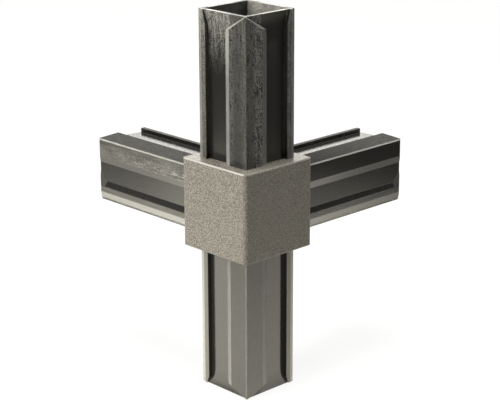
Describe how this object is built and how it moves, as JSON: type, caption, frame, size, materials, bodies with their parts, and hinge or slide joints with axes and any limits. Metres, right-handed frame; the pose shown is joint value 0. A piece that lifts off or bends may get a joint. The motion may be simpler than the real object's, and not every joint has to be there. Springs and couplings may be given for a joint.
{
  "type": "square tube cross connector",
  "caption": "Moulded plastic cross connector for square tube: a cube hub with hollow grooved arms, up, down and to the sides, that plug into the tube ends.",
  "frame": {"origin": "centre of the hub cube, where the axes of the arms cross", "axes": "+Z along the upper arm, +X along the right-hand side arm and +Y along the left-hand one as pictured"},
  "size_m": [0.0663, 0.0663, 0.106],
  "materials": {
    "plastic": "moulded, fine-grained hub and smoother arms"
  },
  "bodies": {
    "root": {"connector_body": "plastic"}
  },
  "joints": []
}
